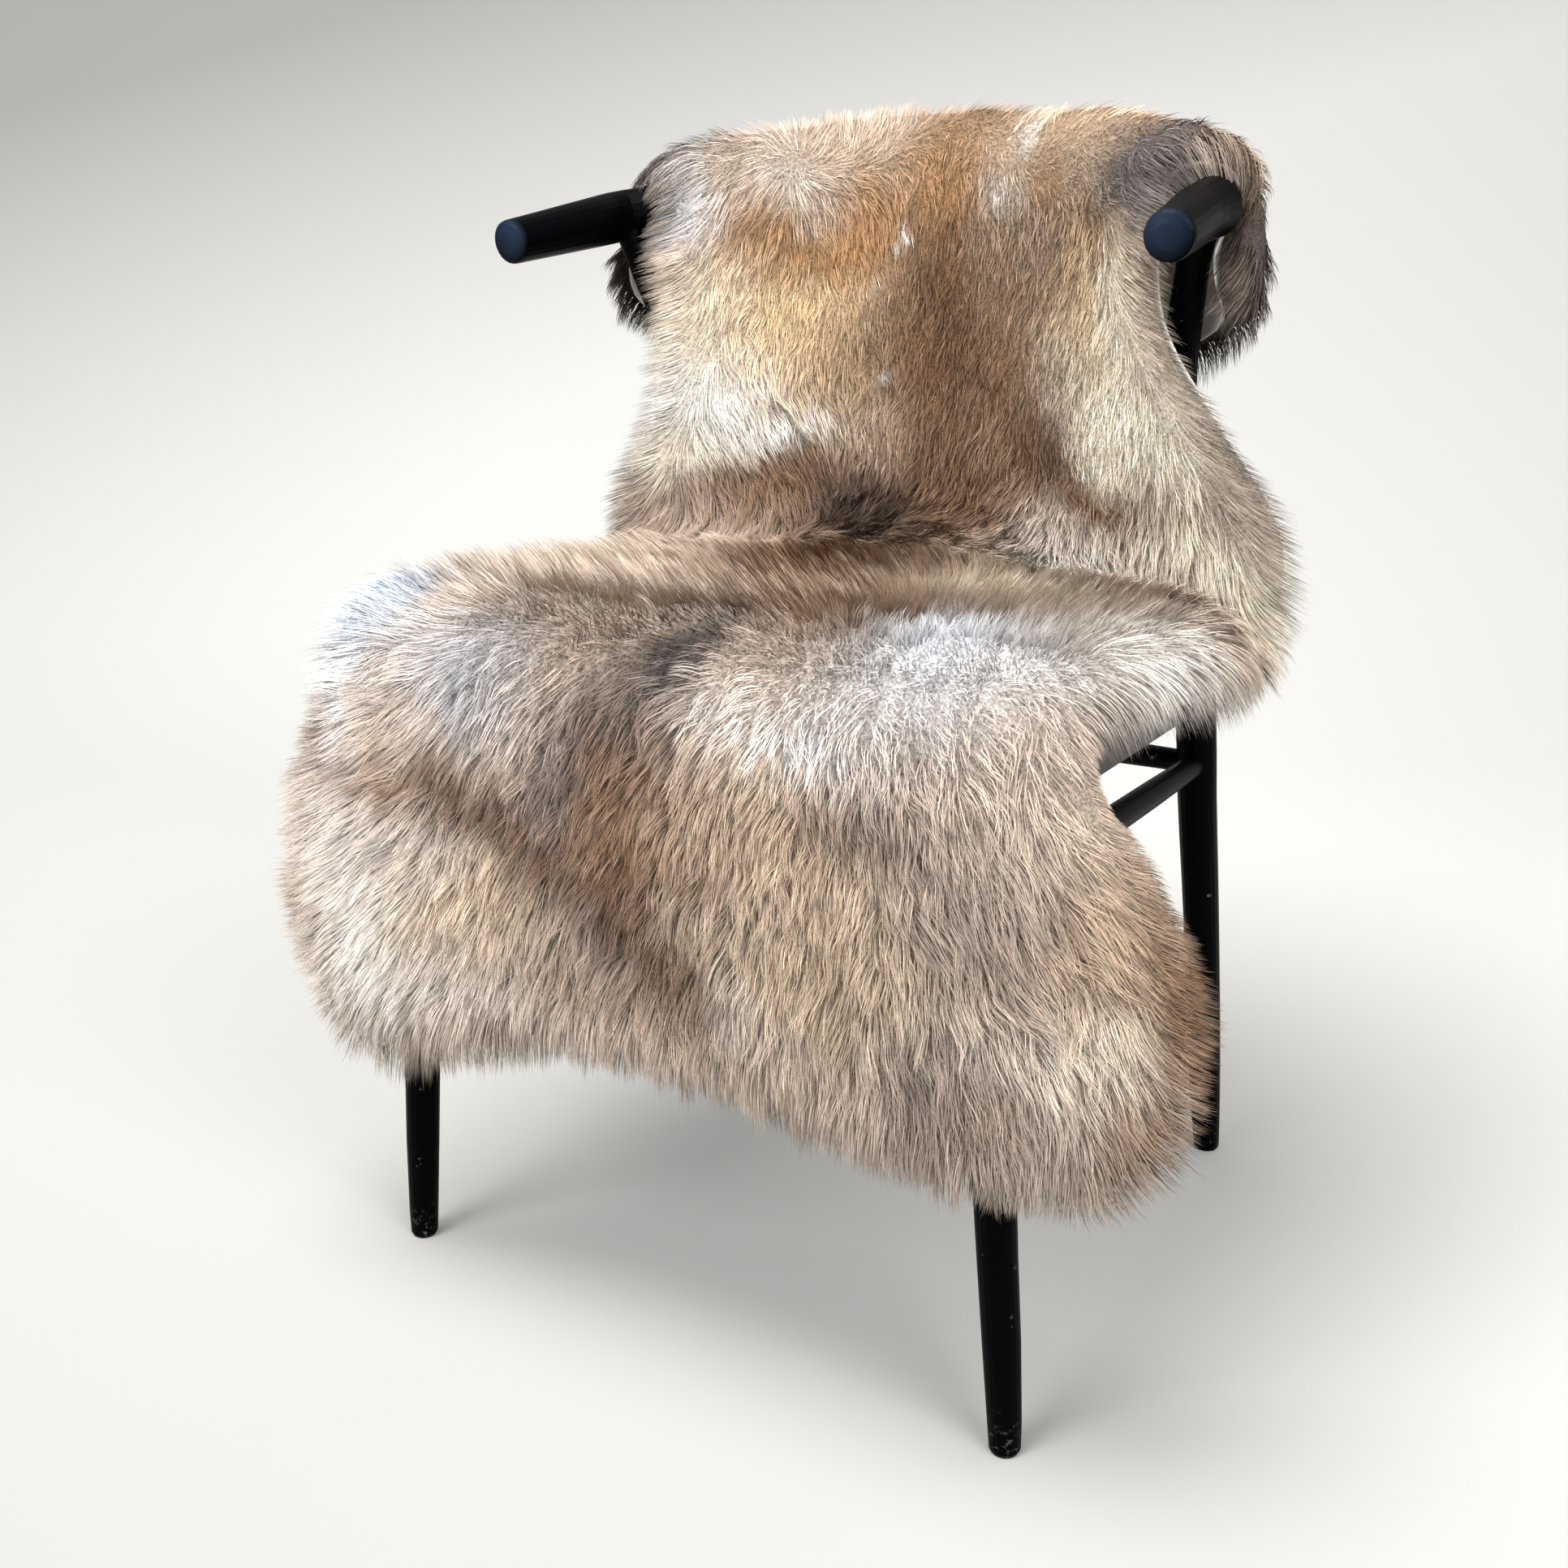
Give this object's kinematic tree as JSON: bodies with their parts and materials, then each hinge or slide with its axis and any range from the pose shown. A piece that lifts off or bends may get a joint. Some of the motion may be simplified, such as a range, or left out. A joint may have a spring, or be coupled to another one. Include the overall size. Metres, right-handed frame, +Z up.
{
  "type": "sheepskin draped over a chair",
  "caption": "Long-haired brown and cream sheepskin draped over the seat, back and bow of a black round-legged armchair with horned arms.",
  "frame": {"origin": "on the floor, under the middle of the whole: the sheepskin with the chair", "axes": "+Z up, the sitter looks along -Y, +X is to the right as seen from the front; left and right in the names are as seen from the front"},
  "size_m": [0.6437, 0.5141, 0.7925],
  "materials": {
    "sheepskin_hair": "long dense hair, cream, tan and dark brown",
    "black_lacquer": "black satin lacquer on turned and bent wood",
    "black_seat_leather": "plain black cover"
  },
  "bodies": {
    "root": {"sheepskin": "sheepskin_hair", "back_bow": "black_lacquer", "front_leg_left": "black_lacquer", "front_leg_right": "black_lacquer", "rear_leg_left": "black_lacquer", "rear_leg_right": "black_lacquer", "side_stretcher_left": "black_lacquer", "side_stretcher_right": "black_lacquer", "rear_stretcher": "black_lacquer", "seat_base": "black_lacquer", "seat_pad": "black_seat_leather"}
  },
  "joints": []
}
